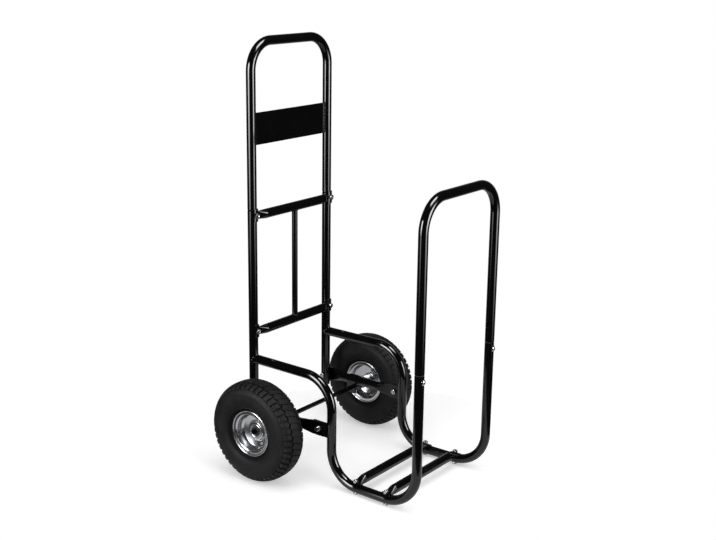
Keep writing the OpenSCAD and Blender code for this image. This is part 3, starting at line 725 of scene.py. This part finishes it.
def welds():
    plate_low, plate_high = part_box("handle_plate")
    low_z, high_z = plate_low.z + WELD_INSET, plate_high.z - WELD_INSET
    plate_beads = []
    for _, s in SIDES:
        x = s * (REAR_HALF - TUBE_R)
        for face in (plate_low.y, plate_high.y):
            plate_beads.append(([Vector((x, face, low_z)), Vector((x, face, high_z))],))
    weld_group("handle_plate_welds", plate_beads, BLACK_COAT, "frame")

    shelf_beads = []
    for _, s in SIDES:
        ahead = Vector((s * math.sin(SPREAD), -math.cos(SPREAD), 0))
        joint = pipe_joint((s * REAR_HALF, LEG_Y, SHELF_Z), (0, 0, 1), ahead, TUBE_R - 0.4 * MM)
        shelf_beads.append((joint, True))
    weld_group("shelf_welds", shelf_beads, BLACK_COAT, "frame")

    brace_y = middle("back_brace").y
    weld_group("brace_welds", [
        (pipe_joint((0, brace_y, z), (1, 0, 0), (0, 0, way), BRACE_R), True)
        for z, way in zip(BAR_HEIGHTS, (-1, 1))
    ], BLACK_COAT, "frame")

    lug_beads = []
    for _, s in SIDES:
        for off in (TUBE_R, TUBE_R - LUG_T):
            behind = math.sqrt(max(TUBE_R ** 2 - off ** 2, 0))
            lug_beads.append(([
                side_point(s, RISER_L - behind, off, STRUT_Z + way * (LUG_HALF_H - WELD_INSET)) for way in (-1, 1)
            ],))
    weld_group("lug_welds", lug_beads, BLACK_COAT, "frame")


# ---------------------------------------------------------------- wheels
def wheel_place(side, sign):
    """Matrix of a wheel: z points away from the cart, x to the front or back and y up."""
    forward = Vector((0, -1, 0)) if sign < 0 else Vector((0, 1, 0))
    axes = Matrix((forward, Vector((0, 0, 1)), Vector((sign, 0, 0)))).transposed()
    return Matrix.Translation(WHEEL[side]) @ axes.to_4x4()


def curve_point(angle, grow):
    """Point (radius, u) of the tyre's rounded box section at an angle from its widest point."""
    mid = (TYRE_R + TYRE_LOW_R) / 2
    half = (TYRE_R - TYRE_LOW_R) / 2
    s, c = math.sin(math.radians(angle)), math.cos(math.radians(angle))
    power = 2 / TYRE_SQUARENESS
    return (
        mid + (half + grow) * math.copysign(abs(s) ** power, s),
        (TYRE_HALF_W + grow) * math.copysign(abs(c) ** power, c),
    )


SHOULDER_ANGLE = 38.0
GROOVE_ANGLES = (75.5, 74.5, 69.5, 68.5)
GROOVE_DEPTH = 4.5 * MM
SLOT_DEPTH = 5.2 * MM
MIDDLE_SLOT_DEPTH = 2.6 * MM
STEP_DEPTH = 2.4 * MM
ZIGZAG = 3.2
BEAD_ANGLE = -42.0


def tyre_rows():
    """Rows of one half of the tyre, from the middle of the tread to the bead.

    A row is (angle, depth of the land, depth in a shoulder slot, depth in a middle slot, zigzag share)."""
    rows = [(angle, 0, 0, MIDDLE_SLOT_DEPTH, zigzag) for angle, zigzag in ((90.0, 0), (84.0, 0.4), (79.0, 0.8))]
    inner_top, inner_low, outer_low, outer_top = GROOVE_ANGLES
    rows.append((inner_top, 0, 0, MIDDLE_SLOT_DEPTH, 1))
    rows += [(angle, GROOVE_DEPTH, GROOVE_DEPTH, GROOVE_DEPTH, 1) for angle in (inner_low, outer_low)]
    rows.append((outer_top, 0, SLOT_DEPTH, 0, 1))
    for share in (0.25, 0.5, 0.75):
        angle = outer_top + (SHOULDER_ANGLE + 1 - outer_top) * share
        rows.append((angle, 0, SLOT_DEPTH, 0, 1 - share))
    for angle, land, slot_share in (
        (SHOULDER_ANGLE + 1.5, 0.1 * MM, 1.0), (SHOULDER_ANGLE, 0.7 * MM, 0.95),
        (SHOULDER_ANGLE - 1.2, STEP_DEPTH, 0.85),
    ):
        rows.append((angle, land, SLOT_DEPTH * slot_share, land, 0))
    wall = [(angle, STEP_DEPTH * ((angle - 10) / 27)) for angle in (33.0, 28.0, 23.0)]
    wall += [
        (18.0, 0.9 * MM), (15.5, 0.7 * MM), (14.5, 0.0), (12.0, 0.0), (11.0, 0.7 * MM), (6.0, 0.5 * MM),
        (0.0, 0.4 * MM), (-7.0, 0.4 * MM), (-14.0, 0.4 * MM), (-21.0, 0.5 * MM), (-28.0, 0.6 * MM),
        (-31.0, 0.7 * MM), (-32.0, -0.3 * MM), (-35.0, -0.3 * MM), (-36.0, 0.7 * MM), (-40.0, 0.8 * MM),
        (BEAD_ANGLE, 1.2 * MM),
    ]
    return rows + [(angle, depth, depth, depth, 0) for angle, depth in wall]


def tyre_columns():
    """Columns of one tread pitch: (share of the pitch, is it in a shoulder slot, is it in a middle slot)."""
    slot, wall, middle_slot = 0.34, 0.03, 0.18
    start = 0.5 + slot / 2
    lug = 1 - slot
    mid = start + lug / 2
    return [
        (0.5 - slot / 2, False, False), (0.5 - slot / 2 + wall, True, False), (0.5, True, False),
        (0.5 + slot / 2 - wall, True, False), (0.5 + slot / 2, False, False),
        (start + lug * 0.22, False, False), (mid - middle_slot / 2, False, False),
        (mid - middle_slot / 2 + wall, False, True), (mid + middle_slot / 2 - wall, False, True),
        (mid + middle_slot / 2, False, False), (start + lug * 0.78, False, False),
    ]


def liner_points():
    """Inside of the tyre, from the outer bead over the air space to the inner bead."""
    bead = [
        (LIP_R + 6.4 * MM, 31 * MM), (LIP_R + 4.6 * MM, 28.6 * MM), (LIP_R + 2.3 * MM, 27.2 * MM),
        (SEAT_R + 6.2 * MM, 25.8 * MM), (SEAT_R + 0.3 * MM, 23.8 * MM), (SEAT_R + 0.3 * MM, 16.2 * MM),
        (SEAT_R + 6 * MM, 16.2 * MM),
    ]
    half = bead + [curve_point(angle, -TYRE_WALL) for angle in range(-30, 91, 15)]
    return half + [(r, -u) for r, u in reversed(half[:-1])]


def tread_lean(way, angle, zigzag):
    """Turn that slants the lugs: it grows from the middle of the tread outwards."""
    lean, shoulder_lean, full_angle = 0.25, 0.10, 80
    pitch = TAU / TREAD_COUNT
    if angle < full_angle:
        return way * pitch * (lean + shoulder_lean * (1 - zigzag))
    return way * pitch * lean * (90 - angle) / (90 - full_angle)


def tyre(side, sign):
    """The tyre with its lugged tread, as one closed skin around its inside."""
    place = wheel_place(side, sign)
    half = [(1, row) for row in tyre_rows()]
    rows = [(-1, row) for _, row in reversed(half[1:])] + half
    liner = liner_points()
    bm = bmesh.new()
    rings = []
    for n in range(TREAD_COUNT):
        for share, in_slot, in_middle in tyre_columns():
            turn = (n + share) * (TAU / TREAD_COUNT)
            sway = abs(((share + 0.25) % 1) * 2 - 1) * 2 - 1
            points = []
            for way, (angle, land, slot, middle_slot, zigzag) in rows:
                depth = slot if in_slot else middle_slot if in_middle else land
                radius, u = curve_point(angle + ZIGZAG * zigzag * sway, -depth)
                points.append(turned(place, radius, turn + tread_lean(way, angle, zigzag), way * u))
            points += [turned(place, radius, turn, u) for radius, u in liner]
            rings.append([bm.verts.new(p) for p in points])
    skin(bm, rings, True)
    finished(f"tyre_{side}_detail", bm, TYRE[side], f"wheel_{side}", SHARP_TYRE, [f"tyre_{side}"])


def rim_outline(boss):
    """Closed outline of a pressed rim half: dish with an optional boss, bead seat, flange and rolled lip."""
    low = RIM_GAP
    hole = HUB_R + 0.1 * MM
    dish_u = low + RIM_T + DISH_RISE
    lip_foot = LIP_R - LIP_ROLL_R
    outer = [
        (hole, low + boss + RIM_T, 0), (BOSS_R, low + boss + RIM_T, 1.6 * MM if boss else 0),
        (BOSS_FOOT_R, low + RIM_T, 2 * MM if boss else 8 * MM), (DISH_R, dish_u, 4 * MM),
        (SEAT_R - RIM_T, dish_u + 5 * MM, 3 * MM), (SEAT_R - RIM_T, LIP_U - 4 * MM, 2.5 * MM),
        (SEAT_R + RIM_T, LIP_U - 0.9 * MM, 1.2 * MM), (lip_foot, LIP_U - 0.6 * MM, 0.5 * MM),
    ]
    lip = [
        (LIP_R + LIP_ROLL_R * math.cos(a), LIP_U + LIP_ROLL_R * math.sin(a), 0)
        for a in (math.radians(180 - 240 * k / 20) for k in range(20))
    ]
    inner = [
        (lip_foot, LIP_U - 2 * MM, 0), (SEAT_R + 3 * MM, LIP_U - 2.9 * MM, 1.5 * MM),
        (SEAT_R, LIP_U - 6 * MM, 2 * MM), (SEAT_R, dish_u + 4.2 * MM, 2 * MM),
        (DISH_R + 1.0 * MM, dish_u - 1.8 * MM, 2 * MM), (BOSS_FOOT_R - 1 * MM, low, 1 * MM if boss else 0),
        (BOSS_R - 1 * MM, low + boss, 1 * MM if boss else 0), (hole, low + boss, 0),
    ]
    return rounded(outer + lip + inner, 5, closed=True)


def rims(side, sign):
    place = wheel_place(side, sign)
    flip = place @ Matrix.Diagonal((1, 1, -1, 1))
    for name, matrix, boss in (("outer_rim", place, BOSS_H), ("inner_rim", flip, 0.0)):
        bm = bmesh.new()
        lathe(bm, rim_outline(boss), matrix, 144, closed=True)
        node = f"{name}_{side}"
        finished(f"{node}_detail", bm, BRIGHT[side], f"wheel_{side}", SHARP_TURNED, [node])


def hub_fittings(side, sign):
    """The hub, the bushes in its ends and the beads that join it to the rim halves."""
    place = wheel_place(side, sign)
    body = f"wheel_{side}"
    inner_u = HUB_OUT_U - HUB_L
    bm = bmesh.new()
    lathe(bm, tube_section(BORE_R, HUB_R, inner_u, HUB_OUT_U, 0.8 * MM, 1 * MM), place, 96, closed=True)
    finished(f"hub_{side}_detail", bm, BRIGHT[side], body, SHARP_TURNED, [f"hub_{side}"])

    edge = 0.5 * MM
    bm = bmesh.new()
    for low in (inner_u, HUB_OUT_U - BUSH_L):
        section = tube_section(AXLE_R + BUSH_GAP, BORE_R - BUSH_GAP, low, low + BUSH_L, edge, edge)
        lathe(bm, section, place, 64, closed=True)
    finished(f"bearings_{side}_detail", bm, PLASTIC, body, SHARP_TURNED, [f"bearings_{side}"])

    bead_r = HUB_R + 0.6 * MM
    steps = 60
    weld_group(f"hub_welds_{side}", [
        ([turned(place, bead_r, TAU * k / steps, u) for k in range(steps)], True, HUB_WELD_RIPPLE)
        for u in (RIM_GAP + BOSS_H + RIM_T, -(RIM_GAP + RIM_T))
    ], BRIGHT[side], body)


def valve_cap(side, sign):
    """A knurled metal cap on the valve stem."""
    node = f"valve_cap_{side}"
    low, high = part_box(node)
    centre = (low + high) / 2
    height = high.x - low.x
    base = Vector((low.x if sign > 0 else high.x, centre.y, centre.z))
    radius = (high.y - low.y) / 2
    ribs = 20
    rib_depth = 0.2 * MM

    def outline(turn):
        full = radius - rib_depth * (0.5 + 0.5 * math.cos(turn * ribs))
        return [
            (0, 0), (full, 0), (full, height * 0.55), (radius - 0.5 * MM, height * 0.62),
            (radius * 0.72, height * 0.82), (radius * 0.66, height * 0.97), (radius * 0.5, height), (0, height),
        ]

    bm = bmesh.new()
    lathe(bm, outline, facing(base, (sign, 0, 0)), 100)
    finished(f"{node}_detail", bm, ZINC, f"wheel_{side}", SHARP_PIN, [node])


def wheels():
    for side, sign in SIDES:
        tyre(side, sign)
        rims(side, sign)
        hub_fittings(side, sign)
        valve_cap(side, sign)


# ---------------------------------------------------------------- camera
CAMERA_PLACE = Vector((-2.4115, -1.80095, 1.3812))
CAMERA_HEADING = math.radians(52.83)
CAMERA_DIP = math.radians(15.414)
CAMERA_ROLL = math.radians(0.744)
CAMERA_LENS = 59.86


def view_axes():
    """Right, up and forward of the camera, before it rolls."""
    forward = Vector((
        math.sin(CAMERA_HEADING) * math.cos(CAMERA_DIP), math.cos(CAMERA_HEADING) * math.cos(CAMERA_DIP),
        -math.sin(CAMERA_DIP)))
    right = Vector((math.cos(CAMERA_HEADING), -math.sin(CAMERA_HEADING), 0))
    return right, right.cross(forward), forward


def camera():
    right, up, forward = view_axes()
    rolled = right * math.cos(CAMERA_ROLL) + up * math.sin(CAMERA_ROLL)
    upright = rolled.cross(forward)
    data = bpy.data.cameras.new("camera")
    data.sensor_fit = "HORIZONTAL"
    data.sensor_width = 36.0
    data.lens = CAMERA_LENS
    eye = bpy.data.objects.new("camera", data)
    axes = Matrix((rolled, upright, -forward)).transposed().to_4x4()
    eye.matrix_world = Matrix.Translation(CAMERA_PLACE) @ axes
    bpy.context.scene.collection.objects.link(eye)
    bpy.context.scene.camera = eye


# ---------------------------------------------------------------- lights
CART_MIDDLE = Vector((0, 0, 0.55))
# Each lamp: name, degrees to the right of the camera, degrees above the level, distance, width, height, watts
SOFTBOXES = (
    ("left_softbox", -53, 6, 2.6, 1.4, 2.4, 210),
    ("right_softbox", 64, 2, 2.6, 1.5, 2.4, 190),
    ("upper_softbox", 50, 68, 2.4, 1.5, 1.5, 130),
)
FILLS = (
    ("left_fill", -50, 25, 3.0, 2.0, 2.0, 32),
    ("right_fill", 45, 25, 3.0, 2.0, 2.0, 32),
    ("overhead_fill", 0, 80, 2.4, 2.6, 2.6, 40),
)
# How far a softbox fades in from its two edges, as shares of its size: first across it, then up it
SOFTBOX_FADES = ((0.2, 0.2), (0.7, 0.1))


def area_lamp(name, turn, rise, distance, width, height, watts):
    """A rectangular lamp that faces the middle of the cart and isn't seen by the camera."""
    angle = math.radians(turn)
    right, _, forward = view_axes()
    level = -Vector((forward.x, forward.y, 0)).normalized()
    way = level * math.cos(angle) + right * math.sin(angle)
    way = way * math.cos(math.radians(rise)) + UP * math.sin(math.radians(rise))
    data = bpy.data.lights.new(name, "AREA")
    data.shape = "RECTANGLE"
    data.size = width
    data.size_y = height
    data.energy = watts
    lamp = bpy.data.objects.new(name, data)
    lamp.location = CART_MIDDLE + way * distance
    lamp.rotation_euler = (-way).to_track_quat("-Z", "Y").to_euler()
    lamp.visible_camera = False
    bpy.context.scene.collection.objects.link(lamp)
    return lamp


def softbox(*spec):
    """A light that shows in gloss and metal, brighter towards its top and soft at its edges."""
    lamp = area_lamp(*spec)
    lamp.visible_diffuse = False
    lamp.data.use_nodes = True
    n = Nodes(lamp.data.node_tree)
    spot = n.tree.nodes.new("ShaderNodeNewGeometry").outputs["Parametric"]
    across_and_up = n.node("ShaderNodeSeparateXYZ", {0: spot}).node.outputs
    ramps = [
        n.spread(socket, start, end, 0.0, 1.0, interpolation_type="SMOOTHSTEP")
        for socket, (low_fade, high_fade) in zip(across_and_up, SOFTBOX_FADES)
        for start, end in ((0.0, low_fade), (1.0, 1.0 - high_fade))
    ]
    strength = ramps[0]
    for ramp in ramps[1:]:
        strength = n.math("MULTIPLY", strength, ramp)
    n.put(n.tree.nodes["Emission"].inputs["Strength"], strength)


def fill(*spec):
    """A broad light that shapes the dull surfaces and doesn't show in gloss."""
    area_lamp(*spec).visible_glossy = False


# ---------------------------------------------------------------- floor and backdrop
WHITE = (1, 1, 1, 1)
FLOOR_R = 0.58
FLOOR_Z = -0.2 * MM
FLOOR_COLOUR = (0.82, 0.82, 0.82, 1)
FLOOR_COLOUR_IN_GLOSS = (0.58, 0.58, 0.58, 1)
FLOOR_GLOW = 0.4
GLOSS_SHARE_OF_GLOW = 0.6
ROOM_FILL = 0.25
ROOM_GLOSS = 0.03
BACKDROP_GLOSS = 0.4
BACKDROP_EDGE = math.cos(math.radians(50))
BACKDROP_FULL = math.cos(math.radians(25))


def studio_floor():
    """A pale round floor, a little less bright in gloss and metal than to the camera."""
    mesh = bpy.data.meshes.new("floor")
    bm = bmesh.new()
    bmesh.ops.create_circle(bm, cap_ends=True, radius=FLOOR_R, segments=128)
    bm.to_mesh(mesh)
    bm.free()
    floor = bpy.data.objects.new("floor", mesh)
    floor.location.z = FLOOR_Z
    bpy.context.scene.collection.objects.link(floor)
    f = Finish("floor_white")
    glossy = f.ray_kind("Is Glossy Ray")
    seen = f.ray_kind("Is Camera Ray", "Is Transmission Ray")
    glow = f.math("MAXIMUM", seen, f.math("MULTIPLY", glossy, GLOSS_SHARE_OF_GLOW))
    f.set(
        Base_Color=f.blend(glossy, FLOOR_COLOUR, FLOOR_COLOUR_IN_GLOSS),
        Roughness=0.9,
        Specular_IOR_Level=0.1,
        Emission_Color=WHITE,
        Emission_Strength=f.math("MULTIPLY", glow, FLOOR_GLOW),
    )
    mesh.materials.append(f.material)


def studio_world():
    """White to the camera; gloss and metal see a pale backdrop behind the cart in a dark room."""
    world = bpy.data.worlds.new("studio")
    bpy.context.scene.world = world
    world.use_nodes = True
    n = Nodes(world.node_tree)
    way = n.coordinates("Generated")
    ahead = n.node("ShaderNodeVectorMath", {0: way, 1: view_axes()[2]}, operation="DOT_PRODUCT")
    backdrop = n.spread(
        ahead.node.outputs["Value"], BACKDROP_EDGE, BACKDROP_FULL, 0.0, 1.0, interpolation_type="SMOOTHSTEP")
    gloss = n.mix(backdrop, ROOM_GLOSS, BACKDROP_GLOSS)
    lit = n.mix(n.ray_kind("Is Glossy Ray"), ROOM_FILL, gloss)
    shader = n.tree.nodes["Background"]
    n.put(shader.inputs["Color"], WHITE)
    n.put(shader.inputs["Strength"], n.mix(n.ray_kind("Is Camera Ray", "Is Transmission Ray"), lit, 1.0))


def studio():
    """A pale round floor before a white backdrop, three softboxes and three fills."""
    studio_floor()
    studio_world()
    for spec in SOFTBOXES:
        softbox(*spec)
    for spec in FILLS:
        fill(*spec)
    bpy.context.scene.view_settings.view_transform = "Standard"


dress_frame()
fasteners()
axle_fittings()
welds()
wheels()
camera()
studio()
